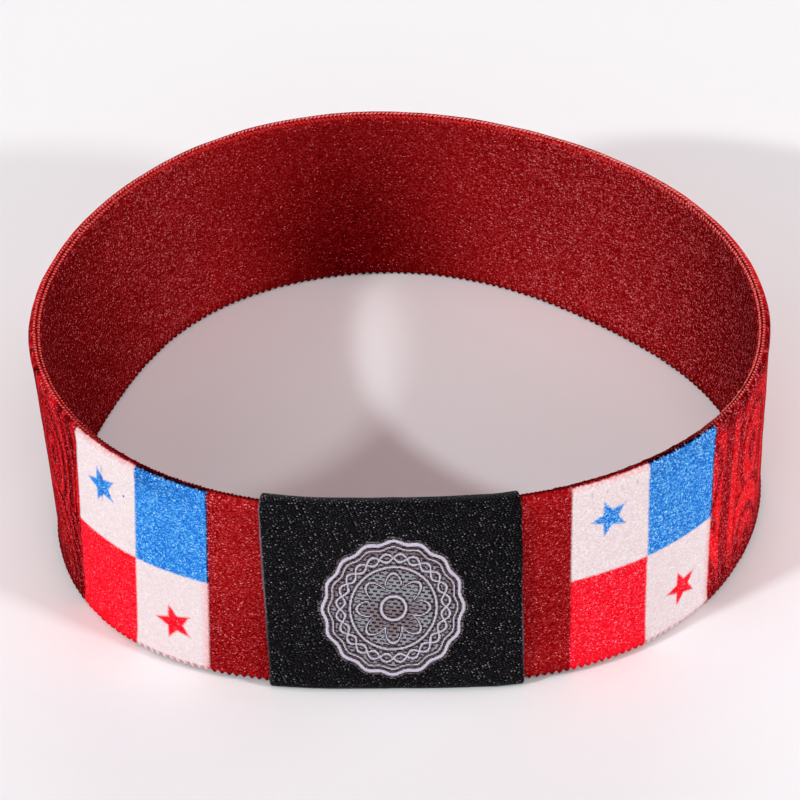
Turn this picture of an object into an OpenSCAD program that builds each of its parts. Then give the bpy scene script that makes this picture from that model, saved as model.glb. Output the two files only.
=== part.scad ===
// Woven elastic wristband: one loop of elastic webbing that stands on its lower edge,
// with a woven label folded round it over the join.
// Millimetres, +Z up. The label faces -Y, and the origin is under the loop's middle.

/* [Webbing] */
// Width of the webbing, which is the height of the standing loop
band_h = 20; // [15:0.5:25]
// Thickness of the webbing between its two woven edges
band_t = 1.0; // [0.8:0.05:1.8]
// Thickness of the rounded woven edges
rim_t = 1.15; // [0.8:0.05:2]
// Size of the loop against the usual one, 199 mm round
loop_size = 1; // [0.85:0.01:1.15]

/* [Label] */
// Length of the label along the webbing
label_l = 22.7; // [15:0.1:40]
// Thickness of the label's folded cloth
label_t = 1.0; // [1:0.1:1.5]
// Clearance between the label and the webbing inside it
label_gap = 0.1; // [0.1:0.01:0.3]
// How far the label pinches each edge of the webbing inwards
label_pinch = 0.55; // [0:0.05:1]
// Middle of the label along the webbing, from the front of the loop
label_s = -0.5; // [-5:0.1:5]
// How far the label's lower end is sewn askew of its upper end
label_skew = 0.5; // [-2:0.1:2]

/* [Standing] */
// How far the soft lower edges are pressed flat where they stand
flat_h = 0.1; // [0.05:0.01:0.3]

/* [Hidden] */
// Columns of the section table
ANGLE = 0;
TOP_R = 1;
FOOT_OUT = 2;
// The relaxed loop seen from above, a row for each section at even steps of angle from
// the front towards +X: [angle, radius of the upper edge, how much further out the lower
// edge stands]. A smooth curve runs close by the rows.
SECTIONS = [
    [0.0, 27.9, 1.2],
    [22.5, 29.45, 2.4],
    [45.0, 31.4, 2.2],
    [67.5, 34.0, -0.2],
    [90.0, 33.7, 0.0],
    [112.5, 32.3, -0.8],
    [135.0, 30.2, -1.4],
    [157.5, 29.0, 0.2],
    [180.0, 29.5, 0.4],
    [202.5, 30.4, -0.3],
    [225.0, 31.1, -1.1],
    [247.5, 32.2, -3.5],
    [270.0, 33.8, -3.6],
    [292.5, 34.3, -0.6],
    [315.0, 32.7, 2.3],
    [337.5, 30.7, 1.4]
];

// Columns of the stretches that stations are spread over
FROM = 0;
TO = 1;
STEPS = 2;

rows = len(SECTIONS);
row_step = SECTIONS[1][ANGLE];
arc_step = 2;
near_s = 0.5;
rim_steps = 5;
fold_steps = 7;
label_steps = 14;
loop_steps = 92;
pinch_clear = 0.2;
pinch_ease = 0.9;
neck = 1.2;
lift_ease = 32;
set_back = 0.65;

half_label = label_l / 2;
foot_lift = label_gap + label_t - label_pinch;
sleeve_t = rim_t + 2 * label_gap;

// A smooth curve's weights for the row before, the two beside and the row after
function weights(u) = [
    pow(1 - u, 3) / 6,
    (3 * pow(u, 3) - 6 * pow(u, 2) + 4) / 6,
    (-3 * pow(u, 3) + 3 * pow(u, 2) + 3 * u + 1) / 6,
    pow(u, 3) / 6
];

// A column of the section table at any angle, going round and round
function section(angle, column) =
    let (
        turn = (angle / row_step % rows + rows) % rows,
        first = floor(turn),
        near = [for (k = [-1:2]) SECTIONS[(first + k + rows) % rows][column]]
    )
    loop_size * (weights(turn - first) * near);

function ease(u) = let (v = min(max(u, 0), 1)) v * v * (3 - 2 * v);

// Plan point at a fraction of the height, 0 at the lower edge and 1 at the upper one
function plan(angle, up) =
    let (r = section(angle, TOP_R) + (1 - up) * section(angle, FOOT_OUT))
    [r * sin(angle), -r * cos(angle)];

// Length along one edge of the webbing, as rows of [length, angle]
arc_count = round(360 / arc_step);
function edge_lengths(up) = [
    for (i = 0, s = 0; i <= arc_count;
        s = s + norm(plan((i + 1) * arc_step, up) - plan(i * arc_step, up)), i = i + 1)
    [s, i * arc_step]
];
upper_edge = edge_lengths(1);
lower_edge = edge_lengths(0);
loop_l = (upper_edge[arc_count][0] + lower_edge[arc_count][0]) / 2;

// Plan point at s along an edge. The webbing isn't stretched, so a thread across it
// joins points at the same length along both edges.
function edge_point(s, edge, up) =
    let (turn = (s / loop_l % 1 + 1) % 1)
    plan(lookup(turn * edge[arc_count][0], edge), up);
function thread_point(s, up) =
    up * edge_point(s, upper_edge, 1) + (1 - up) * edge_point(s, lower_edge, 0);

// Distance along the webbing to the nearer end of the label, below 0 under it
function past_label(s) =
    let (d = abs(s - label_s) % loop_l) min(d, loop_l - d) - half_label;

// How far the label pinches the webbing's edges, and how high its fold lifts them
function pinch_at(s) = label_pinch * (1 - ease((past_label(s) - pinch_clear) / pinch_ease));
function lift_at(s) = foot_lift * (1 - ease(past_label(s) / lift_ease));

// A point of the wall: s along the webbing, h up its slope from the lower edge and n
// out from the middle of its thickness. The table's pole is set back a little, which
// brings the origin under the middle of the loop, and nothing goes below the ground.
function wall(s, h, n) =
    let (
        low = thread_point(s, 0),
        high = thread_point(s, 1),
        rise = sqrt(pow(band_h, 2) - pow(norm(high - low), 2)),
        slope = [high[0] - low[0], high[1] - low[1], rise] / band_h,
        up = h / band_h,
        ahead = thread_point(s + near_s, up) - thread_point(s - near_s, up),
        along = [ahead[0], ahead[1], 0] / norm(ahead),
        out = cross(along, slope),
        p = [low[0], low[1], lift_at(s)] + h * slope + n * out / norm(out)
    )
    [p[0], p[1] + loop_size * set_back, max(p[2] - flat_h, 0)];

// Rounded end of a flat ring: half a circle of radius r over height h, from the outer
// face to the inner one, on the upper end with up = 1 and the lower with up = -1
function half_round(r, h, up, steps) =
    [for (k = [0:steps]) let (a = 180 * k / steps) [r * cos(a) * up, h + r * sin(a) * up]];

// The webbing's cut across, as [n, h]: two rounded edges with thinner cloth between
function webbing_ring(pinch) =
    let (
        r = rim_t / 2,
        low = pinch + r,
        high = band_h - pinch - r
    )
    concat(
        half_round(r, high, 1, rim_steps),
        [[-band_t / 2, high - neck], [-band_t / 2, low + neck]],
        half_round(r, low, -1, rim_steps),
        [[band_t / 2, low + neck], [band_t / 2, high - neck]]
    );

// One skin of the sleeve's cut across, as [n, h], that many mm thick over all
function sleeve_ring(thickness) =
    let (r = thickness / 2, edge = label_pinch + rim_t / 2)
    concat(
        half_round(r, band_h - edge, 1, fold_steps),
        half_round(r, edge, -1, fold_steps)
    );

// Triangles between rings of n points, to the next ring or round to the first again
function skin(rings, n, first, closed) = [
    for (i = [0:rings - (closed ? 1 : 2)], j = [0:n - 1])
        let (
            next = (i + 1) % rings,
            a = first + i * n + j,
            b = first + i * n + (j + 1) % n,
            c = first + next * n + (j + 1) % n,
            d = first + next * n + j
        )
        each [[a, b, c], [a, c, d]]
];
function flip(faces) = [for (f = faces) [f[2], f[1], f[0]]];

// Stations along the webbing: close together under the label and at its two ends,
// even over the rest of the loop
ease_end = half_label + pinch_clear + pinch_ease;
STRETCHES = [
    [-half_label - pinch_clear, half_label + pinch_clear, label_steps],
    [half_label + pinch_clear, ease_end, 3],
    [ease_end, loop_l - ease_end, loop_steps],
    [loop_l - ease_end, loop_l - half_label - pinch_clear, 3]
];
band_stations = [
    for (row = STRETCHES, k = [0:row[STEPS] - 1])
        label_s + row[FROM] + (row[TO] - row[FROM]) * k / row[STEPS]
];

module elastic_band() {
    rings = [for (s = band_stations)
        [for (p = webbing_ring(pinch_at(s))) wall(s, p[1], p[0])]];
    color("firebrick")
        polyhedron([for (ring = rings) each ring],
            skin(len(rings), len(rings[0]), 0, true), convexity = 4);
}

module woven_label() {
    outer = sleeve_ring(sleeve_t + 2 * label_t);
    inner = sleeve_ring(sleeve_t);
    n = len(outer);
    stations = [for (k = [0:label_steps]) label_s - half_label + label_l * k / label_steps];
    function sleeve(ring) = [for (s = stations, p = ring)
        wall(s + label_skew * (0.5 - p[1] / band_h), p[1], p[0])];
    inner_first = n * len(stations);
    last = n * (len(stations) - 1);
    start_end = [for (j = [0:n - 1])
        let (k = (j + 1) % n)
        each [[k, j, inner_first + j], [k, inner_first + j, inner_first + k]]];
    far_end = [for (f = start_end) [f[2] + last, f[1] + last, f[0] + last]];
    color("#181818")
        polyhedron(concat(sleeve(outer), sleeve(inner)),
            concat(skin(len(stations), n, 0, false),
                flip(skin(len(stations), n, inner_first, false)),
                start_end, far_end), convexity = 6);
}

elastic_band();
woven_label();
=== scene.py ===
"""Looks of the printed elastic wristband with its woven label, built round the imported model."""

import math

import bmesh
import bpy
import numpy as np
from mathutils import Matrix, Vector, noise


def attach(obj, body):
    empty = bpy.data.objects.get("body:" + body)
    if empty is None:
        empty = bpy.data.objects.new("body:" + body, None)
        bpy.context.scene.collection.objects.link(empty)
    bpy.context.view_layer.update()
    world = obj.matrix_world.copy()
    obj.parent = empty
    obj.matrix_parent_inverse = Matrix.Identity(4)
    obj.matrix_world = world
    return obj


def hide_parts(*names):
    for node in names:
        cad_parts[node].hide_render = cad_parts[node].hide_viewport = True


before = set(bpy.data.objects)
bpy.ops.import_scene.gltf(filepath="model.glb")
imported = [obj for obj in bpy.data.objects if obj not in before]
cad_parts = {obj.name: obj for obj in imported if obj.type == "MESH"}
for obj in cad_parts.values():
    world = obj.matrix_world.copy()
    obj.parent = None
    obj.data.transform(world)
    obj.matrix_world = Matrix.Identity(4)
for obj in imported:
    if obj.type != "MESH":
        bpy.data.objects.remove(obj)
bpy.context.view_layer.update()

# Webbing
# One strip of polyester elastic, 20 mm wide with rounded woven edges, printed on its outer
# face and red all through. Its two cut ends butt together under the label, and the strip
# stands by itself on its lower edge as a relaxed loop.

# One millimetre in metres. Every size is in millimetres until its mesh is rolled.
MM = 0.001
BAND_H = 20.0
BAND_T = 1.0
RIM_T = 1.15
NECK = 1.2
# How far the beads of the lower edge stand out below the cloth
BEAD_OUT = 0.22
RIM_SIDES = 20
CLOTH_ROWS = 14
BAND_STEPS = 640
# From the middle of the join to each cut end
CUT_GAP = 0.1
# How far the relaxed cloth wanders in broad buckles and in small ripples, and its top edge sags
BUCKLE = 0.06
RIPPLE = 0.03
SAG = 0.05

# A row every 22.5 degrees from the front towards +X: the upper edge's radius, and how much
# further out the lower edge stands
SECTIONS = np.array((
    (27.9, 1.2), (29.45, 2.4), (31.4, 2.2), (34.0, -0.2),
    (33.7, 0.0), (32.3, -0.8), (30.2, -1.4), (29.0, 0.2),
    (29.5, 0.4), (30.4, -0.3), (31.1, -1.1), (32.2, -3.5),
    (33.8, -3.6), (34.3, -0.6), (32.7, 2.3), (30.7, 1.4),
))
TOP_R = 0
FOOT_OUT = 1
SET_BACK = 0.65

# The label along the webbing: its length, its middle, and how far its foot is sewn askew
LABEL_L = 22.7
LABEL_S = -0.5
LABEL_SKEW = 0.5
# How high its fold lifts the webbing, over what length that eases, and how much is pressed flat
FOOT_LIFT = 0.55
LIFT_EASE = 32.0
FLAT_H = 0.1
# Half the step along the webbing that its direction is taken over
NEAR_S = 0.5


def section(angle, column):
    """A column of the section table at any angle in degrees, as a smooth curve near its rows."""
    turn = np.asarray(angle) * len(SECTIONS) / 360
    first = np.floor(turn).astype(int)
    u = turn - first
    weights = ((1 - u) ** 3, 3 * u**3 - 6 * u**2 + 4, -3 * u**3 + 3 * u**2 + 3 * u + 1, u**3)
    rows = [SECTIONS[(first + k - 1) % len(SECTIONS), column] for k in range(4)]
    return sum(w * row for w, row in zip(weights, rows)) / 6


def plan(angle, up):
    """Plan point at a fraction of the height, 0 at the lower edge and 1 at the upper one."""
    radius = section(angle, TOP_R) + (1 - up) * section(angle, FOOT_OUT)
    turn = np.radians(angle)
    return np.stack((radius * np.sin(turn), -radius * np.cos(turn)), -1)


def edge_lengths(up):
    """Length along one edge of the webbing at every degree."""
    steps = np.diff(plan(DEGREES, up), axis=0)
    return np.concatenate(((0,), np.cumsum(np.linalg.norm(steps, axis=1))))


DEGREES = np.arange(361.0)
UPPER = edge_lengths(1)
LOWER = edge_lengths(0)
LOOP_L = (UPPER[-1] + LOWER[-1]) / 2


def thread_point(s, up):
    """Plan point of the thread across the webbing at s. It joins equal lengths of both edges."""
    turn = (s / LOOP_L) % 1
    high = plan(np.interp(turn * UPPER[-1], UPPER, DEGREES), 1)
    low = plan(np.interp(turn * LOWER[-1], LOWER, DEGREES), 0)
    up = np.asarray(up)[..., None]
    return up * high + (1 - up) * low


def ease(u):
    """A smooth step from 0 to 1."""
    v = np.clip(u, 0, 1)
    return v * v * (3 - 2 * v)


def past_label(s):
    """Distance along the webbing to the nearer end of the label, below 0 under it."""
    d = np.abs(s - LABEL_S) % LOOP_L
    return np.minimum(d, LOOP_L - d) - LABEL_L / 2


def rolled(flat):
    """Where points of the flat strip go on the standing loop, in metres. Flat, the strip is seen
    from its front: x is mm along it from the loop's front, y mm into the loop and z mm up."""
    s, inward, h = np.asarray(flat, float).T
    low, high = thread_point(s, 0), thread_point(s, 1)
    lean = high - low
    rise = np.sqrt(BAND_H**2 - (lean**2).sum(-1))
    slope = np.column_stack((lean, rise)) / BAND_H
    up = h / BAND_H
    ahead = thread_point(s + NEAR_S, up) - thread_point(s - NEAR_S, up)
    along = np.column_stack((ahead, np.zeros(len(s))))
    outward = np.cross(along, slope)
    outward /= np.linalg.norm(outward, axis=1)[:, None]
    lift = FOOT_LIFT * (1 - ease(past_label(s) / LIFT_EASE))
    place = np.column_stack((low, lift)) + h[:, None] * slope - inward[:, None] * outward
    place[:, 1] += SET_BACK
    place[:, 2] = np.maximum(place[:, 2] - FLAT_H, 0)
    return place * MM


def make_piece(name, shape, material):
    """Rolls a flat shape onto the loop as a finished piece. Its flat place stays with it as the
    attribute that its material reads, so that weave and print follow the cloth."""
    mesh = bpy.data.meshes.new(name)
    shape.to_mesh(mesh)
    shape.free()
    flat = np.empty(3 * len(mesh.vertices))
    mesh.vertices.foreach_get("co", flat)
    mesh.attributes.new("flat_place", "FLOAT_VECTOR", "POINT").data.foreach_set("vector", flat)
    mesh.vertices.foreach_set("co", rolled(flat.reshape(-1, 3)).ravel())
    mesh.shade_smooth()
    mesh.materials.append(material)
    piece = bpy.data.objects.new(name, mesh)
    bpy.context.collection.objects.link(piece)
    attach(piece, "root")
    return piece


def drawn_out(cut, length, steps):
    """Draws a cut across the strip out along it, in even steps."""
    made = bmesh.ops.extrude_edge_only(cut, edges=cut.edges[:])["geom"]
    far = [v for v in made if isinstance(v, bmesh.types.BMVert)]
    bmesh.ops.translate(cut, verts=far, vec=(length, 0, 0))
    lengthwise = [e for e in cut.edges if abs(e.verts[0].co.x - e.verts[1].co.x) > length / 2]
    bmesh.ops.subdivide_edges(cut, edges=lengthwise, cuts=steps - 1, use_grid_fill=True)


def wavy(s, h, size, seed):
    """Smooth wander between about -1 and 1 over distances of size mm, without a seam."""
    turn = 2 * math.pi * s / LOOP_L
    radius = LOOP_L / (2 * math.pi * size)
    return noise.noise((radius * math.cos(turn), radius * math.sin(turn), h / size + seed))


class Shade:
    """A socket of a material's nodes, with the operators that join it to others."""

    def __init__(self, tree, socket):
        self.tree = tree
        self.socket = socket

    def node(self, kind, settings=None, inputs=None, output=0):
        """A new node of a kind: its settings first, then its sockets' values or links."""
        made = self.tree.nodes.new("ShaderNode" + kind)
        for name, value in (settings or {}).items():
            setattr(made, name, value)
        for name, value in (inputs or {}).items():
            if isinstance(value, Shade):
                self.tree.links.new(value.socket, made.inputs[name])
            else:
                made.inputs[name].default_value = value
        return Shade(self.tree, made.outputs[output])

    def math(self, operation, *others):
        """This value and the others through one Math node."""
        return self.node("Math", {"operation": operation}, dict(enumerate((self, *others))))

    def __add__(self, other):
        return self.math("ADD", other)

    def __sub__(self, other):
        return self.math("SUBTRACT", other)

    def __rsub__(self, other):
        return self.node("Math", {"operation": "SUBTRACT"}, {0: other, 1: self})

    def __mul__(self, other):
        return self.math("MULTIPLY", other)

    def __truediv__(self, other):
        return self.math("DIVIDE", other)

    def __pow__(self, other):
        return self.math("POWER", other)

    def __mod__(self, other):
        return self.math("FLOORED_MODULO", other)

    def __abs__(self):
        return self.math("ABSOLUTE")

    def __lt__(self, other):
        return self.math("LESS_THAN", other)

    def __gt__(self, other):
        return self.math("GREATER_THAN", other)

    __radd__ = __add__
    __rmul__ = __mul__

    def step(self, start, end):
        """A smooth step from 0 at start to 1 at end, whichever of them is higher."""
        settings = {"interpolation_type": "SMOOTHSTEP"}
        if start < end:
            return self.node("MapRange", settings, {0: self, 1: start, 2: end, 3: 0.0, 4: 1.0})
        return self.node("MapRange", settings, {0: self, 1: end, 2: start, 3: 1.0, 4: 0.0})

    def between(self, low, high, soft):
        """1 from low to high and 0 outside, with soft borders."""
        return self.step(low - soft, low + soft) * self.step(high + soft, high - soft)

    def choose(self, off, on):
        """The value off where this is 0 and on where it is 1."""
        return self.node("Mix", None, {0: self, 2: off, 3: on})

    def blend(self, off, on):
        """The colour off where this is 0 and on where it is 1."""
        return self.node("Mix", {"data_type": "RGBA"}, {0: self, 6: off, 7: on}, output=2)

    def channel(self, number):
        """One of this colour's channels: 0 for red, 1 for green and 2 for blue."""
        return self.node("SeparateColor", None, {0: self}, output=number)

    def scaled(self, strength):
        """This colour made lighter or darker."""
        return self.node("VectorMath", {"operation": "SCALE"}, {0: self, "Scale": strength})


def point(x, y, z=0.0):
    """A vector of up to three values, one of which is a Shade."""
    start = next(v for v in (x, y, z) if isinstance(v, Shade))
    return start.node("CombineXYZ", None, {0: x, 1: y, 2: z})


def drift(shade, detail=2.0, roughness=0.5, dimensions="3D"):
    """Soft noise of about 0.5 for the material that a Shade belongs to. With no place linked it
    reads the piece's own box, so that it drifts slowly round the whole band."""
    looks = {"Scale": 1.0, "Detail": detail, "Roughness": roughness}
    return shade.node("TexNoise", {"noise_dimensions": dimensions}, looks)


def cells(place, randomness, dimensions="3D"):
    """Scattered cells of size 1: the distance to each one's middle, and two chances for each."""
    settings = {"voronoi_dimensions": dimensions}
    looks = {"Vector": place, "Scale": 1.0, "Randomness": randomness}
    distance = place.node("TexVoronoi", settings, looks, output="Distance")
    chance = place.node("TexVoronoi", settings, looks, output="Color")
    return distance, chance.channel(0), chance.channel(1)


def colour(red, green, blue):
    """A colour given as a screen shows it, from 0 to 255, turned into the linear one."""
    return (*((c / 255) ** 2.2 for c in (red, green, blue)), 1.0)


def new_material(name, roughness, specular):
    """An empty cloth material: it, its shader, and the flat place as s along the webbing from the
    loop's front, inward from the middle of its thickness, and h up it."""
    material = bpy.data.materials.new(name)
    material.use_nodes = True
    tree = material.node_tree
    shader = tree.nodes["Principled BSDF"]
    shader.inputs["Roughness"].default_value = roughness
    shader.inputs["Specular IOR Level"].default_value = specular
    start = Shade(tree, shader.outputs[0])
    flat = start.node("Attribute", {"attribute_name": "flat_place"}, output="Vector")
    place = [flat.node("SeparateXYZ", None, {0: flat}, output=axis) for axis in "XYZ"]
    return material, shader, place


def wears(shader, socket, value):
    """Links a varying colour or value to a shader's socket."""
    value.tree.links.new(value.socket, shader.inputs[socket])


def raised(shader, height, depth_mm):
    """Relief of that depth on the shader's surface, from a height of 0 to 1."""
    looks = {"Strength": 1.0, "Distance": depth_mm * MM, "Height": height}
    wears(shader, "Normal", height.node("Bump", None, looks, output="Normal"))


def from_front(s):
    """Place along the webbing from the loop's front, below 0 on the left."""
    return s - (s > LOOP_L / 2) * LOOP_L


YARN_RED = colour(145, 25, 28)
# Painted shade on the inner face of the webbing
INNER_PAINTED_SHADE = colour(80, 6, 9)
PLAIN_RED = colour(161, 29, 32)
PLAIN_DARK = colour(132, 20, 23)
PRINT_RED = colour(240, 33, 49)
PRINT_BLUE = colour(53, 134, 218)
PRINT_NAVY = colour(24, 66, 140)
PRINT_WHITE = colour(231, 213, 215)
ORNAMENT_RED = colour(232, 33, 40)
ORNAMENT_DARK = colour(102, 15, 19)
EDGE_RED = colour(206, 36, 40)
# Painted shade of the edges' grooves and gaps, and a painted highlight for the edge yarn's crowns
EDGE_SHADE = colour(84, 10, 13)
EDGE_GLINT = colour(249, 141, 136)
EDGE_INK = colour(30, 12, 30)
BLEED_PINK = colour(232, 146, 150)

QUARTER_H = 10.0
FLAGS = (
    # [left border, middle border, right border] along the webbing
    (-32.3, -24.7, -17.3),
    (15.35, 23.1, 31.2),
)
STARS = (
    # [flag, middle along the webbing, middle's height, is it blue]
    (0, -28.75, 15.75, True),
    (0, -20.7, 4.5, False),
    (1, 19.05, 15.8, True),
    (1, 27.42, 4.4, False),
)
STAR_TIP = 1.88
STAR_NOTCH = 0.45 * STAR_TIP
ORNAMENT_FROM = FLAGS[0][0]
ORNAMENT_TO = FLAGS[1][2]
CELL_L = 9.4
CELL_H = 11.0
# How far the prints' borders wander along the band, and how soft they are
PRINT_WANDER = 0.42
PRINT_SOFT = 0.16
# Where the print on the face ends below the upper rim, and where it's gone
RIM_FROM = BAND_H - 1.1
RIM_FULL = BAND_H - 0.6
# Small marks of the printing, along the webbing from the loop's front and up it
TICKS_S = (15.6, 22.9)
TICKS_H = (18.4, 19.0)
TICK_PITCH = 1.5
SPECK_S = -26.0
SPECK_H = 16.1
# How far from the loop's front the sides begin and the back ends
SIDE_FROM = (47.0, 56.0)
BACK_TO = (82.0, 66.0)
# Middles along the webbing of the back and of the stretch inside it with the deepest painted shade,
# where the painted glints are weakest too
BACK_S = 99.0
PAINTED_SHADE_S = 104.0


def star(s, h, middle_s, middle_h):
    """1 inside a printed star with one tip towards the left."""
    x, y = middle_s - s, h - middle_h
    fifth = math.radians(72)
    away = (x * x + y * y) ** 0.5
    turn = abs(y.math("ARCTAN2", x) % fifth - fifth / 2)
    turn = fifth / 2 - turn
    notch_x, notch_y = STAR_NOTCH * math.cos(fifth / 2), STAR_NOTCH * math.sin(fifth / 2)
    edge = math.hypot(notch_x - STAR_TIP, notch_y)
    inside = away * turn.math("SINE") * (notch_x - STAR_TIP)
    inside = inside - (away * turn.math("COSINE") - STAR_TIP) * notch_y
    return (inside / edge).step(-PRINT_SOFT, PRINT_SOFT)


def ornament(s, h, slow):
    """Nested arches and uprights in two reds, a design of its own. Their sizes drift slowly."""
    bend = drift(s, detail=1.0)
    column = (s + 7.0 * bend) / CELL_L
    side = (column % 1.0 - 0.5) * CELL_L
    turn = (column.math("FLOOR") * 0.37) % 1.0
    up = (h + 4.0 * turn) % CELL_H - 3.5
    arch = (side * side * 1.7 + up * up * 0.5 + side * up * 0.3) ** 0.5 + 2.6 * slow
    arches = (arch * 2.5).math("SINE").step(-0.95, 0.0)
    wave = (s * 2.3 + 5.0 * slow + 2.0 * bend * h.step(0.0, 30.0)).math("SINE")
    uprights = wave.step(0.0, 0.6)
    at_join = abs(side).step(CELL_L * 0.26, CELL_L * 0.36)
    strokes = at_join.choose(arches, uprights)
    near_foot = h.step(-1.0, 5.0)
    near_rim = (h + 2.0 * slow).step(BAND_H + 0.6, BAND_H - 1.6)
    thin = (arch * 3.4 + side * 0.8).math("SINE").step(-0.1, 0.8) * bend.step(0.3, 0.55)
    to_left = s.step(70.0, 130.0)
    right_strokes = (0.3 + 0.7 * strokes) * (0.3 + 0.7 * near_rim)
    right_strokes = right_strokes * (0.65 + 0.35 * slow.step(0.35, 0.6))
    left_strokes = strokes * 0.25 + thin * 0.45
    strokes = near_foot * to_left.choose(right_strokes, left_strokes)
    return strokes.blend(ORNAMENT_DARK, ORNAMENT_RED)


def quarters(flag, h, front, high, wander, uneven):
    """A flag's four quarters and two stars: their colour, and masks of its left and upper half."""
    left, middle, right = FLAGS[flag]
    is_left = front.step(middle + PRINT_SOFT, middle - PRINT_SOFT)
    is_high = high.step(QUARTER_H - PRINT_SOFT, QUARTER_H + PRINT_SOFT)
    navy = high.step(BAND_H - 3.0, BAND_H - 0.9) * uneven.step(0.35, 0.6) * 0.7
    top = is_left.blend(navy.blend(PRINT_BLUE, PRINT_NAVY), PRINT_WHITE)
    foot = is_left.blend(PRINT_WHITE, PRINT_RED)
    for of_flag, middle_s, middle_h, blue in STARS:
        if of_flag != flag:
            continue
        shape = star(front + 0.7 * wander, high - 0.6 * wander, middle_s, middle_h)
        if not blue:
            foot = shape.blend(foot, PRINT_RED)
            continue
        top = shape.blend(top, PRINT_BLUE)
        if flag == 0:
            smear = abs(front - middle_s).step(0.22, 0.06)
            smear = smear * abs(h - middle_h - 0.3).step(2.3, 1.4)
            top = (smear * 0.35).blend(top, PRINT_NAVY)
    bled = front.step(right - 0.9, right - 0.05) * (1.0 - is_high) * 0.5
    foot = bled.blend(foot, BLEED_PINK)
    return is_high.blend(foot, top), is_left, is_high


def webbing_print(s, inward, h):
    """Where the webbing's outer face is, and the colour of the webbing: flags by the label, and an
    ornament over the rest of its face. Inside it is red yarn, painted darker as shade at the sides
    and low in the middle of the back, and a groove under the upper rim carries painted shade."""
    uneven = drift(s, detail=1.0, roughness=0.6, dimensions="2D")
    wander = (uneven - 0.5) * PRINT_WANDER
    front = from_front(s) + wander
    high = h + wander * 0.8

    slow = drift(s)
    plain = slow.step(0.3, 0.7).blend(PLAIN_DARK, PLAIN_RED)
    ornamented = (front < ORNAMENT_FROM).math("MAXIMUM", front > ORNAMENT_TO)
    face = ornamented.blend(plain, ornament(s, h, slow))
    upper_rim = h.step(RIM_FROM, RIM_FULL)
    over_rim = upper_rim * inward.step(-0.35, -0.15)
    for flag, (left, middle, right) in enumerate(FLAGS):
        quartered, is_left, is_high = quarters(flag, h, front, high, wander, uneven)
        on_flag = front.between(left, right, PRINT_SOFT)
        face = on_flag.blend(face, quartered)
        seam_ink = front.between(right - 0.1, right + 0.08, 0.07) * is_high
        face = (seam_ink * 0.8).blend(face, EDGE_INK)
        bleed = on_flag * is_left * h.step(BAND_H - 0.6, BAND_H - 0.1)
        face = (bleed * 0.5).blend(face, BLEED_PINK)
        ink = on_flag * (1.0 - is_left) * upper_rim * inward.step(-0.42, -0.22)
        face = (ink * 0.85).blend(face, EDGE_INK)
        face = (over_rim * on_flag).blend(face, is_left.blend(EDGE_INK, YARN_RED))

    tick = abs((s / TICK_PITCH + slow * 2.0) % 1.0 - 0.5).step(0.08, 0.03)
    tick = tick * h.between(*TICKS_H, 0.25) * front.between(*TICKS_S, 0.2)
    face = (tick * 0.22).blend(face, EDGE_INK)
    speck = ((front - SPECK_S) ** 2.0 + (high - SPECK_H) ** 2.0).step(0.016, 0.006)
    face = speck.blend(face, PRINT_NAVY)
    side = abs(front).step(*SIDE_FROM)
    strip = abs(front).step(*BACK_TO).blend(YARN_RED, EDGE_RED)
    face = (h.step(BAND_H - 0.36, BAND_H - 0.22) * side).blend(face, strip)
    # Painted shade along a groove under the upper rim, at the sides and back
    groove = h.step(BAND_H - 0.3, BAND_H - 0.1) * inward.step(-0.16, -0.08) * side
    face = (groove * 0.7).blend(face, EDGE_SHADE)

    outer = inward.step(0.03, -0.09)
    # Painted shade: the inner face is darker at the sides, and in the middle of the back towards
    # the foot
    at_sides = abs(s - BACK_S).step(20.0, 46.0) * 0.72
    at_back = abs(s - PAINTED_SHADE_S).step(16.0, 0.0) * h.step(30.0, 2.0) * 0.95
    inside = at_sides.math("MAXIMUM", at_back).blend(YARN_RED, INNER_PAINTED_SHADE)
    return outer, outer.blend(inside, face)


def satin(s, h, side):
    """Fine slanted floats of filament: their height, and a tone and a glint for each."""
    slow = drift(s)
    floats = point((s - 0.5 * h) / 0.26 + slow, (h + 0.3 * s) / 0.17 + slow, side)
    distance, tone, glint = cells(floats, 0.9)
    return 1.0 - distance * distance * 1.5, tone, glint


def dye_with_painted_light(face, lighter):
    """Dyed filament, made deeper or paler by a gamma. Where lighter follows floats and stitches, it
    is painted shade in their gaps and painted highlight on their crowns, which hardly shows on
    white and shows well on dark red."""
    paleness = 0.25 * face.channel(0) + 0.3 * face.channel(1)
    gamma = (1.0 - lighter * (1.0 - paleness)).math("MAXIMUM", 0.3)
    return face.node("Gamma", None, {"Color": face, "Gamma": gamma})


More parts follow.
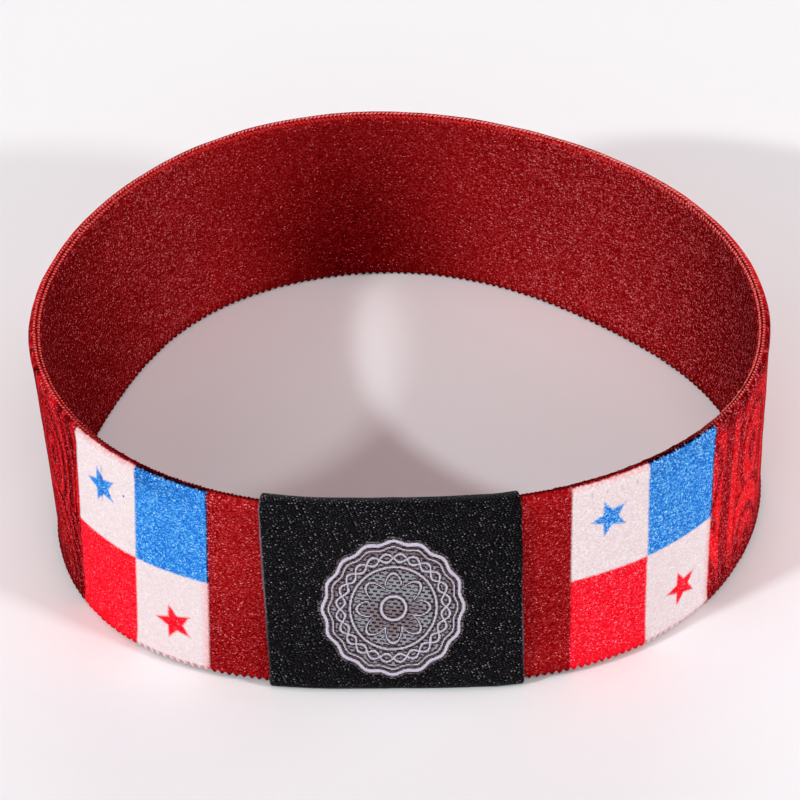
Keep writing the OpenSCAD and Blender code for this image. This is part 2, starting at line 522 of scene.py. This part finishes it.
def webbing_cloth():
    """Printed webbing: fine slanted floats of shiny filament, each with its own tone, with painted
    highlights on their crowns, painted shade between them and painted glints.
    """
    material, shader, (s, inward, h) = new_material("webbing_cloth", 0.6, specular=0.0)
    outer, face = webbing_print(s, inward, h)
    front = abs(from_front(s))
    behind_beads = front.between(16.0, 32.0, 0.5) * h.step(0.8, 0.4)
    face = (behind_beads * 0.8).blend(face, PRINT_RED)
    height, tone, glint = satin(s, h, outer * 40.0)
    specks = point((s - 0.4 * h) / 0.12, (h + 0.2 * s) / 0.1, outer * 5.0)
    distance, lit, bright = cells(specks, 1.0)
    # Painted glints: a few bright specks and the crowns of some floats
    painted_sparkle = (bright ** 14.0) * distance.step(0.8, 0.5) + (glint ** 16.0) * height * 0.2
    on_right_quarters = front.between(16.0, 31.6, 0.5) * h.step(8.0, 11.0)
    by_right_flag = s.between(11.0, 15.3, 0.3)
    # How strong the painted highlights, shade and glints are: weaker in the middle of the back and
    # on the left, stronger on the right flag's upper quarters and weaker on the plain red right of
    # the label
    painted_light_strength = (0.62 + 0.43 * abs(s - PAINTED_SHADE_S).step(6.0, 22.0)) * (1.0 - 0.2 * s.step(122.0, 138.0))
    painted_light_strength = painted_light_strength * (1.0 + 0.3 * outer * on_right_quarters)
    painted_light_strength = painted_light_strength * (1.0 - 0.25 * outer * by_right_flag)
    # A painted highlight on each float's crown, a random tone, and a random brightness for each
    # speck
    lighter = 0.3 * height + 0.3 * tone + 0.9 * lit * lit - 0.68
    wears(shader, "Base Color", dye_with_painted_light(face, painted_light_strength * (0.95 * lighter + 1.1 * painted_sparkle)))
    wears(shader, "Roughness", 0.62 - 0.25 * glint)
    raised(shader, height + tone * 0.4 + lit * 0.4, depth_mm=0.025)
    return material


cut = bmesh.new()
bmesh.ops.create_circle(
    cut, segments=RIM_SIDES, radius=RIM_T / 2,
    matrix=Matrix.Rotation(math.pi / 2, 4, "Y") @ Matrix.Rotation(math.pi / RIM_SIDES, 4, "Z"),
)
for vert in cut.verts:
    upper = vert.co.z > 0
    vert.co.z += BAND_H - RIM_T / 2 if upper else BEAD_OUT + RIM_T / 2
bmesh.ops.subdivide_edges(
    cut, edges=[e for e in cut.edges if e.calc_length() > RIM_T], cuts=CLOTH_ROWS,
    use_grid_fill=False,
)
for vert in cut.verts:
    from_rim = min(vert.co.z - BEAD_OUT, BAND_H - vert.co.z) - RIM_T / 2
    vert.co.y *= 1 - (1 - BAND_T / RIM_T) * float(ease(from_rim / NECK))
    vert.co.x = LABEL_S + CUT_GAP
drawn_out(cut, LOOP_L - 2 * CUT_GAP, BAND_STEPS)
bmesh.ops.holes_fill(cut, edges=[e for e in cut.edges if e.is_boundary])
bmesh.ops.recalc_face_normals(cut, faces=cut.faces)
for vert in cut.verts:
    s, h = vert.co.x, vert.co.z
    vert.co.y += BUCKLE * wavy(s, h, size=5.0, seed=1.0) + RIPPLE * wavy(s, h, size=1.6, seed=2.0)
    vert.co.z += SAG * wavy(s, 0.0, size=3.0, seed=3.0) * (h / BAND_H)
webbing = make_piece("webbing", cut, webbing_cloth())
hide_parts("elastic_band")

# Woven edges
# The weft turns round each edge of the webbing. On top it is held by two rows of slanted knit
# stitches and a few slack loops inside them. Below, each turn stands out as a small bead.

# They go round the band a whole number of times, at about these pitches
BEADS = round(LOOP_L / 0.7)
BEAD_PITCH = LOOP_L / BEADS
BEAD_SIZE = Vector((0.335, 0.66, 0.9))
STITCHES = round(LOOP_L / 0.39)
STITCH_PITCH = LOOP_L / STITCHES
STITCH_SIZE = Vector((0.26, 0.105, 0.095))
STITCH_SLANT = math.radians(38)
LOOPS = round(LOOP_L / 1.9)
LOOP_PITCH = LOOP_L / LOOPS
LOOP_R = 0.3
LOOP_THREAD = 0.05
LOOP_DOWN = 0.85
# How deep the stitches and the loops sink into the rim
STITCH_SINK = 0.02
LOOP_SINK = 0.03
TOP_ROWS = (
    # [degrees from the top of the rim towards the inside, slant, how strong its painted glints are]
    (3, STITCH_SLANT, 0.85),
    (46, -STITCH_SLANT, 1.0),
)
# The small things are jostled alike in every run
noise.seed_set(1)


def repeated(shape, pitch, count):
    """Sets that many of what the shape holds at even pitch along the strip, by doubling."""
    made = 1
    while made < count:
        geom = shape.verts[:] + shape.edges[:] + shape.faces[:]
        geom = bmesh.ops.duplicate(shape, geom=geom)["geom"]
        copies = [v for v in geom if isinstance(v, bmesh.types.BMVert)]
        bmesh.ops.translate(shape, verts=copies, vec=(pitch * made, 0, 0))
        made *= 2
    beyond = [v for v in shape.verts if v.co.x > LABEL_S + pitch * count]
    bmesh.ops.delete(shape, geom=beyond, context="VERTS")


def jostled(shape, pitch, by):
    """Moves each of a row of small things a little, each its own way."""
    for vert in shape.verts:
        k = math.floor((vert.co.x - LABEL_S) / pitch)
        vert.co += by * noise.noise_vector((k * 3.7, by * 50, vert.co.z // 2))


def edge_yarn(name):
    """Edge yarn before it is dyed: its material and shader, its place, the print that reaches it
    from the face, and a tone that drifts slowly along it."""
    material, shader, (s, inward, h) = new_material(name, 0.5, specular=0.0)
    _, face = webbing_print(s, inward, h)
    slow = drift(s)
    raised(shader, slow, depth_mm=0.02)
    return material, shader, (s, inward, h), face, slow


def bead_yarn():
    """Yarn of the lower edge. Its gaps between beads carry painted shade, red by the flags where
    the red yarn shows too, and the beads round the sides and back are painted darker with shade.
    """
    material, shader, (s, _, _), face, slow = edge_yarn("lower_edge_yarn")
    front = abs(from_front(s))
    # The gaps between the beads are painted darker as shade; by the flags they turn red, where the
    # red yarn shows as well
    gap = abs((s - LABEL_S) / BEAD_PITCH % 1.0 - 0.5).step(0.25, 0.5)
    between = front.step(34.0, 30.0).blend(EDGE_SHADE, PRINT_RED)
    cloth = (gap * 0.7).blend(dye_with_painted_light(face, 0.4 * slow - 0.28), between)
    # Round the sides and back the beads are painted darker with shade
    cloth = (front.step(50.0, 66.0) * 0.6).blend(cloth, EDGE_SHADE)
    wears(shader, "Base Color", cloth)
    return material


def stitch_yarn(name, glint_strength, row_y=None):
    """Yarn of the upper edge. Past the flags it is red with painted pale glints on its crowns: as
    two rows of dots at the sides, and as one line along the back. Painted shade darkens the gaps
    between its stitches."""
    material, shader, (s, inward, _), face, slow = edge_yarn(name)
    front = abs(from_front(s))
    side = front.step(27.0, 37.0)
    crown = abs((s - LABEL_S) / STITCH_PITCH % 1.0 - 0.5).step(0.34, 0.04)
    if row_y is not None:
        line = inward.between(-0.02, 0.26, 0.07) * (0.85 + 0.15 * crown)
        dots = crown * abs(inward - row_y).step(0.17, 0.03)
        crown = front.step(55.0, 80.0).choose(dots, line)
    # Painted highlight past the flags, weaker on the left and strongest on the crowns
    glint = side * glint_strength * (0.75 + 0.25 * s.step(150.0, 50.0))
    glint = glint * (0.08 + 0.92 * crown) * (0.5 + 0.5 * slow.step(0.3, 0.6))
    # Painted highlight on the crowns and painted shade between the stitches
    red = dye_with_painted_light(side.blend(face, EDGE_RED), 0.5 * crown + 0.3 * slow - 0.65)
    wears(shader, "Base Color", glint.blend(red, EDGE_GLINT))
    return material


beads = bmesh.new()
middle = Vector((LABEL_S + BEAD_PITCH / 2, 0, BEAD_OUT + RIM_T / 2))
bmesh.ops.create_uvsphere(
    beads, u_segments=8, v_segments=6, radius=1,
    matrix=Matrix.Translation(middle) @ Matrix.Diagonal(BEAD_SIZE).to_4x4(),
)
repeated(beads, BEAD_PITCH, BEADS)
jostled(beads, BEAD_PITCH, by=0.05)
lower_edge = make_piece("lower_woven_edge", beads, bead_yarn())

for row, (tip, slant, glint_strength) in enumerate(TOP_ROWS):
    stitches = bmesh.new()
    tilt = math.radians(tip)
    on_rim = Vector((0, math.sin(tilt), math.cos(tilt))) * (RIM_T / 2 - STITCH_SINK)
    middle = Vector((LABEL_S + STITCH_PITCH / 2, 0, BAND_H - RIM_T / 2)) + on_rim
    turned = Matrix.Rotation(-tilt, 4, "X") @ Matrix.Rotation(slant, 4, "Z")
    bmesh.ops.create_uvsphere(
        stitches, u_segments=6, v_segments=5, radius=1,
        matrix=Matrix.Translation(middle) @ turned @ Matrix.Diagonal(STITCH_SIZE).to_4x4(),
    )
    repeated(stitches, STITCH_PITCH, STITCHES)
    jostled(stitches, STITCH_PITCH, by=0.06)
    yarn = stitch_yarn(f"upper_edge_yarn_{row + 1}", glint_strength, RIM_T / 2 * math.sin(tilt))
    upper_edge = make_piece(f"upper_edge_stitches_{row + 1}", stitches, yarn)

loops = bmesh.new()
start = Vector(
    (LABEL_S + LOOP_PITCH / 2 - LOOP_R, RIM_T / 2 - LOOP_SINK, BAND_H - LOOP_DOWN)
)
bmesh.ops.create_circle(
    loops, segments=6, radius=LOOP_THREAD, matrix=Matrix.Translation(start),
)
bmesh.ops.spin(
    loops, geom=loops.edges[:], cent=start + Vector((LOOP_R, 0, 0)), axis=(0, 1, 0),
    dvec=(0, 0, 0), angle=math.pi, steps=8,
)
bmesh.ops.holes_fill(loops, edges=[e for e in loops.edges if e.is_boundary])
bmesh.ops.recalc_face_normals(loops, faces=loops.faces)
repeated(loops, LOOP_PITCH, LOOPS)
jostled(loops, LOOP_PITCH, by=0.16)
slack_loops = make_piece("slack_edge_loops", loops, stitch_yarn("slack_loop_yarn", 0.35))

# Label
# A woven satin label folded over the join as a sleeve, with its two ends lapped on the inner
# side. Its left and right ends are turned under, and two rows of stitches hold it.
LABEL_T = 0.38
FOLD_R = 1.14
FOLD_TOP = 20.45
FOLD_FOOT = -0.45
LAP_TOP = 6.5
LAP_FOOT = 4.0
LAP_SLOPE = 1.2
FLAP_OUT = 0.4
EDGE_ROUND = 0.14
LABEL_STEPS = 72
FACE_CUTS = 22
ARC_STEPS = 8
# Where the two rows of sewing run at their top and at their foot
SEAM_LEFT = (-9.92, -9.23)
SEAM_RIGHT = (8.29, 8.77)
SEAM_TOP = 19.0
SEAM_FOOT = 3.0
SEAM_WIDE = 0.3
SEAM_SINK = 0.16
HALF_LABEL = LABEL_L / 2
# How far its faces puff out and buckle, its folds sag, and its turned ends wander
PUFF = 0.1
LABEL_BUCKLE = 0.05
FOLD_SAG = 0.06
END_WANDER = 0.09
# How far from its folds and from its ends its faces have their full puff
FOLD_EASE = 2.5
END_EASE = 2.0
# How high its upper fold stands off at its left end, and how much less at its right end. That
# starts some way in from its left end, and some way up.
LOOSE = 0.22
LOOSE_LESS = 0.25
LOOSE_IN = 5.0
LOOSE_FROM = 13.0
LOOSE_FULL = 19.0
# How far its upper left corner stands out past the lower one
FLARE = 0.3

EMBLEM_S = -0.65
EMBLEM_H = 9.35
EMBLEM_WIDE = 6.5
EMBLEM_TALL = 7.9
PETALS = 8
SCALLOPS = 16
PLAITS = 12
PLAIT_OUT = 0.72
# Sizes of one thread of its weave, and of the black dashes between its outlines
THREAD_WIDE = 0.1
PICK_TALL = 0.13
DASH_PITCH = 0.66
DASH_ROW = 0.4
# The satin's black, the painted highlight of its floats, and their painted glints
SATIN_BLACK = colour(8, 7, 8)
SATIN_DIM = colour(80, 76, 81)
SATIN_SPECK = colour(200, 196, 202)
THREAD_LILAC = colour(218, 213, 233)
THREAD_GREY = colour(152, 150, 158)
THREAD_TAUPE = colour(126, 106, 112)
FOLD_FUZZ = colour(142, 118, 132)


def seam_s(seam, h):
    """Where a row of stitches runs, which leans a little."""
    top, foot = seam
    return foot + (top - foot) * (h - SEAM_FOOT) / (SEAM_TOP - SEAM_FOOT)


def highest(masks):
    """The highest of several masks."""
    top, *others = masks
    for other in others:
        top = top.math("MAXIMUM", other)
    return top


def emblem(s, h, slow):
    """A plain woven medallion: a scalloped border, a ring of plaited strands and a ring of petals.
    Gives where it is, its colour and its height. Its outlines step from thread to thread."""
    thread_s = (s / THREAD_WIDE).math("FLOOR") * THREAD_WIDE + THREAD_WIDE / 2
    pick_h = (h / PICK_TALL).math("FLOOR") * PICK_TALL + PICK_TALL / 2
    x = (thread_s - EMBLEM_S + (slow - 0.5) * 0.34) / EMBLEM_WIDE
    y = (pick_h - EMBLEM_H + (slow - 0.5) * 0.3) / EMBLEM_TALL
    far = (x * x + y * y) ** 0.5
    turn = y.math("ARCTAN2", x)
    ring = far / (1.0 + 0.022 * (turn * SCALLOPS).math("COSINE"))
    petal = 0.3 + 0.2 * abs((turn * (PETALS / 2)).math("COSINE"))
    off_petal = far - petal
    swing = (turn * PLAITS).math("SINE") * 0.058
    plait = abs(far - PLAIT_OUT - swing).math("MINIMUM", abs(far - PLAIT_OUT + swing))

    soft = 0.004
    row = (h / DASH_ROW).math("FLOOR")
    dash_x = abs(((s - 0.12 * h) / DASH_PITCH + 0.5 * (row % 2.0)) % 1.0 - 0.5)
    dash_y = abs(((h + 0.16 * s) / DASH_ROW) % 1.0 - 0.5)
    dashes = dash_x.step(0.34, 0.26) * dash_y.step(0.34, 0.22)
    stitch = abs(((s + h) / 0.24) % 1.0 - 0.5).step(0.36, 0.2)
    outlines = (
        # [how far out, half its width]
        (ring - 0.94, 0.02), (ring - 0.86, 0.008), (far - 0.59, 0.012),
        (plait, 0.013), (off_petal, 0.013), (far - 0.17, 0.016),
    )
    outlines = [(abs(away), half) for away, half in outlines]
    lilac = highest(away.step(half + soft, half - soft) for away, half in outlines)
    border = highest(away.step(half + 0.036, half + 0.028) for away, half in outlines)
    dots = highest(away.between(half + 0.01, half + 0.032, soft) for away, half in outlines)
    dots = dots * (0.35 + 0.65 * stitch)
    shaded = ring.between(0.79, 0.84, 0.02) * y.step(-0.1, 0.3)
    shaded = shaded.math("MAXIMUM", off_petal.step(-0.03, -0.12) * y.step(0.25, -0.1))
    taupe = border.math("MAXIMUM", shaded * 0.85)
    inked = dashes.math("MAXIMUM", dots) * (1.0 - lilac)
    patch = taupe.blend(THREAD_GREY, THREAD_TAUPE)
    crossed = abs(((s - h) / 0.2) % 1.0 - 0.5).step(0.42, 0.2)
    patch = (lilac * (1.0 - 0.3 * crossed)).blend(patch, THREAD_LILAC)
    patch = (inked * 0.92).blend(patch, SATIN_BLACK)
    return ring.step(1.0, 0.99), patch, 0.6 + 0.4 * lilac - 0.5 * inked


def label_satin():
    """Black satin whose floats in slanting rows carry painted highlights and glints, and the
    medallion in pale thread under a painted sheen.
    """
    material, shader, (s, inward, h) = new_material("label_satin", 0.5, specular=0.02)
    round_fold = (inward + FOLD_R) * ((h > BAND_H / 2) * 2.0 - 1.0)
    along = h + round_fold
    place = point((s + 0.35 * along) / 0.28, (along - 0.22 * s) / 0.21)
    distance, glint, dim = cells(place, 0.6, dimensions="2D")
    float_h = 1.0 - distance * distance * 1.6
    slow = drift(s)
    # Painted highlights on the floats' crowns, and a few painted glints
    spot = distance.step(0.28, 0.1)
    weave = abs((along / 0.26 + s / 0.4) % 1.0 - 0.5).step(0.2, 0.4)
    lit = (spot * (dim ** 2.0)).math("MAXIMUM", weave * float_h * (0.08 + 0.3 * slow ** 2.0))
    satin_face = lit.blend(SATIN_BLACK, SATIN_DIM)
    speck = (glint ** 10.0) * distance.step(0.32, 0.12) * (0.1 + slow)
    satin_face = speck.blend(satin_face, SATIN_SPECK)
    inside, patch, patch_h = emblem(s, h, slow)
    inside = inside * inward.step(-0.6, -0.7)
    # Painted sheen over the medallion, with painted shade between the weft's picks
    sheen = 0.72 + 0.5 * drift(s, dimensions="2D")
    weft = abs((h / 0.15) % 1.0 - 0.5)
    patch = patch.scaled(sheen * (1.05 - 0.35 * weft))
    cloth = inside.blend(satin_face, patch)
    skewed = s - LABEL_SKEW * (0.5 - h / BAND_H) - LABEL_S
    flare = h * (FLARE / FOLD_TOP)
    left_fuzz = (skewed + HALF_LABEL + flare).step(0.26, 0.08)
    right_fuzz = (skewed - HALF_LABEL).step(-0.2, -0.06) * 0.5
    fuzz = left_fuzz.math("MAXIMUM", right_fuzz) * slow.step(0.35, 0.65)
    wears(shader, "Base Color", fuzz.blend(cloth, FOLD_FUZZ))
    raised(shader, inside.choose(float_h, patch_h), depth_mm=0.05)
    return material


def carried(shape, vert, to):
    """Extends a chain of edges to a new point of the cut, given as (y, z)."""
    made = bmesh.ops.extrude_vert_indiv(shape, verts=[vert])["verts"][0]
    made.co = (vert.co.x, *to)
    return made


def turned_round(shape, vert, middle_y, middle_z, angle):
    """Extends a chain of edges round a fold."""
    made = bmesh.ops.spin(
        shape, geom=[vert], cent=(vert.co.x, middle_y, middle_z), axis=(1, 0, 0),
        dvec=(0, 0, 0), angle=angle, steps=ARC_STEPS,
    )["geom_last"]
    return next(g for g in made if isinstance(g, bmesh.types.BMVert))


sleeve = bmesh.new()
inner_y = FOLD_R
top_z, foot_z = FOLD_TOP - FOLD_R, FOLD_FOOT + FOLD_R
end = sleeve.verts.new((LABEL_S - HALF_LABEL, inner_y, LAP_TOP))
end = carried(sleeve, end, (inner_y, foot_z))
end = turned_round(sleeve, end, 0, foot_z, -math.pi)
end = carried(sleeve, end, (-inner_y, top_z))
end = turned_round(sleeve, end, 0, top_z, -math.pi)
end = carried(sleeve, end, (inner_y, LAP_TOP + LAP_SLOPE))
end = carried(sleeve, end, (inner_y + FLAP_OUT, LAP_TOP))
end = carried(sleeve, end, (inner_y + FLAP_OUT, LAP_FOOT))
faces_cut = [e for e in sleeve.edges if e.calc_length() > LAP_TOP]
bmesh.ops.subdivide_edges(sleeve, edges=faces_cut, cuts=FACE_CUTS)
drawn_out(sleeve, LABEL_L, LABEL_STEPS)
bmesh.ops.recalc_face_normals(sleeve, faces=sleeve.faces)
bmesh.ops.solidify(sleeve, geom=sleeve.faces[:], thickness=LABEL_T)
bmesh.ops.recalc_face_normals(sleeve, faces=sleeve.faces)
rims = [e for e in sleeve.edges if e.calc_face_angle(0) > math.radians(60)]
bmesh.ops.bevel(
    sleeve, geom=rims, offset=EDGE_ROUND, segments=3, profile=0.5, affect="EDGES", material=-1,
)
for vert in sleeve.verts:
    s, y, h = vert.co
    from_end = HALF_LABEL - abs(s - LABEL_S)
    groove = max(
        math.exp(-(((s - seam_s(seam, h)) / SEAM_WIDE) ** 2)) for seam in (SEAM_LEFT, SEAM_RIGHT)
    )
    flat_face = float(ease(min(h - FOLD_FOOT, FOLD_TOP - h) / FOLD_EASE))
    puff = PUFF * float(ease(from_end / END_EASE)) - SEAM_SINK * groove
    puff += LABEL_BUCKLE * wavy(s, h, size=3.0, seed=5.0)
    vert.co.y += math.copysign(1, y) * puff * flat_face
    past = (s - LABEL_S + HALF_LABEL - LOOSE_IN) / (LABEL_L - LOOSE_IN)
    high = (h - LOOSE_FROM) / (LOOSE_FULL - LOOSE_FROM)
    loose = LOOSE - LOOSE_LESS * float(ease(past))
    vert.co.z += loose * float(ease(high)) + FOLD_SAG * wavy(s, 0.0, size=2.5, seed=6.0)
    end_wander = END_WANDER * wavy(math.copysign(40, s), h, size=2.0, seed=7.0)
    vert.co.x += LABEL_SKEW * (0.5 - h / BAND_H) + end_wander
    vert.co.x -= FLARE * h / FOLD_TOP * float(ease((LABEL_S - s) / HALF_LABEL))
label = make_piece("label", sleeve, label_satin())
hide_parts("woven_label")

# Sewing
# Two rows of black polyester thread hold the label. Each stitch dips into the cloth at both
# ends, and the rows run through the label and the webbing, so both sides show them.
THREAD_R = 0.12
STITCH_L = 1.7
STITCH_STEP = 2.4
STITCH_LEAN = math.radians(5)
# How far the thread is pulled into the cloth, and strays from the straight row
THREAD_SINK = 0.04
STRAY = 0.05
THREAD_BLACK = colour(8, 8, 9)
THREAD_SHINE = colour(30, 29, 32)


def sewing_thread():
    """Twisted black polyester, each twist painted from black up to a faint painted sheen."""
    material, shader, (s, inward, h) = new_material("sewing_thread", 0.5, specular=0.05)
    twist = (s / 0.1 + h / 0.16) % 1.0
    wears(shader, "Base Color", twist.blend(THREAD_BLACK, THREAD_SHINE))
    raised(shader, twist, depth_mm=0.02)
    return material


sewing = bmesh.new()
lean = Matrix.Rotation(STITCH_LEAN, 4, "Y")
size = Matrix.Diagonal((THREAD_R, THREAD_R, STITCH_L / 2, 1))
# Each stitch strays on from the one before, the first of them from the label's left end
s = LABEL_S - HALF_LABEL
for seam in (SEAM_LEFT, SEAM_RIGHT):
    for side in (-1, 1):
        h = SEAM_FOOT
        while h + STITCH_L / 2 < SEAM_TOP + 1:
            s = seam_s(seam, h) + STRAY * noise.noise((s, h, side))
            depth = side * (FOLD_R - THREAD_SINK)
            if side > 0 and h < LAP_TOP:
                depth += FLAP_OUT
            bmesh.ops.create_uvsphere(
                sewing, u_segments=8, v_segments=10, radius=1,
                matrix=Matrix.Translation((s, depth, h)) @ lean @ size,
            )
            h += STITCH_STEP
sewn = make_piece("label_sewing", sewing, sewing_thread())

# Camera, lights and floor
# The camera looks down at 40 degrees from in front of the label, through a long lens. Two small
# soft lights from the left and the right cast the shadows, and wide ones and a tent fill them.
PITCH = math.radians(40)
CAMERA_AWAY = 0.5
CAMERA_Y = -0.37235
SENSOR = 36
# The lens's focal length and the photograph's width, both in its pixels
FOCAL_PIXELS = 5189
PHOTO_PIXELS = 800
FLOOR_HALF = 3.0
FLOOR_WHITE = (0.85, 0.832, 0.842, 1)
TENT_WHITE = (1.0, 0.98, 0.98, 1)
TENT_STRENGTH = 0.021

camera_data = bpy.data.cameras.new("camera")
camera_data.lens = FOCAL_PIXELS / PHOTO_PIXELS * SENSOR
camera_data.sensor_width = SENSOR
camera_data.clip_end = 20
camera = bpy.data.objects.new("camera", camera_data)
camera.location = (0, CAMERA_Y, CAMERA_AWAY * math.sin(PITCH))
camera.rotation_euler = (math.pi / 2 - PITCH, 0, 0)
bpy.context.collection.objects.link(camera)
bpy.context.scene.camera = camera

table = bmesh.new()
bmesh.ops.create_grid(table, x_segments=1, y_segments=1, size=FLOOR_HALF)
table_mesh = bpy.data.meshes.new("floor")
table.to_mesh(table_mesh)
table.free()
floor = bpy.data.objects.new("floor", table_mesh)
bpy.context.collection.objects.link(floor)
floor_paint = bpy.data.materials.new("floor_paint")
floor_paint.use_nodes = True
floor_shader = floor_paint.node_tree.nodes["Principled BSDF"]
floor_shader.inputs["Base Color"].default_value = FLOOR_WHITE
floor_shader.inputs["Specular IOR Level"].default_value = 0.1
floor_shader.inputs["Roughness"].default_value = 0.6
table_mesh.materials.append(floor_paint)


def softbox(name, azimuth, elevation, away, size, power, tint):
    """A rectangular soft light towards the origin, from degrees round from the front towards +X and
    degrees above the floor. Its distance and size are in metres and its power in watts."""
    turn, tilt = math.radians(azimuth), math.radians(elevation)
    flat = math.cos(tilt)
    place = Vector((math.sin(turn) * flat, -math.cos(turn) * flat, math.sin(tilt))) * away
    data = bpy.data.lights.new(name, "AREA")
    data.shape = "RECTANGLE"
    data.size, data.size_y = size
    data.energy = power
    data.color = tint
    light = bpy.data.objects.new(name, data)
    light.location = place
    light.rotation_euler = (-place).to_track_quat("-Z", "Y").to_euler()
    bpy.context.collection.objects.link(light)


softbox("left_light", -55, 29, 1.13, (0.108, 0.038), 7.6, (0.92, 1, 1))
softbox("right_light", 60.5, 27.5, 1.13, (0.16, 0.053), 5.8, (0.945, 1, 0.993))
softbox("left_fill", -82, 40, 1.2, (0.75, 0.6), 1.95, (1, 0.96, 0.965))
softbox("right_fill", 105, 13, 1.2, (0.6, 0.15), 3.7, (0.955, 1, 0.995))
softbox("front_fill", 0, 28, 1.35, (0.9, 0.35), 2.3, (0.955, 1, 1))
softbox("top_fill", 0, 80, 1.3, (0.9, 0.9), 4.4, (1, 0.745, 0.79))
softbox("upper_fill", 0, 60, 1.3, (0.7, 0.4), 1.5, (1, 0.92, 0.935))
softbox("back_fill", 175, 15, 1.2, (0.8, 0.2), 9.5, (0.885, 1, 1))

world = bpy.data.worlds.new("tent")
bpy.context.scene.world = world
world.use_nodes = True
background = world.node_tree.nodes["Background"]
background.inputs["Color"].default_value = TENT_WHITE
background.inputs["Strength"].default_value = TENT_STRENGTH
bpy.context.scene.view_settings.view_transform = "Standard"
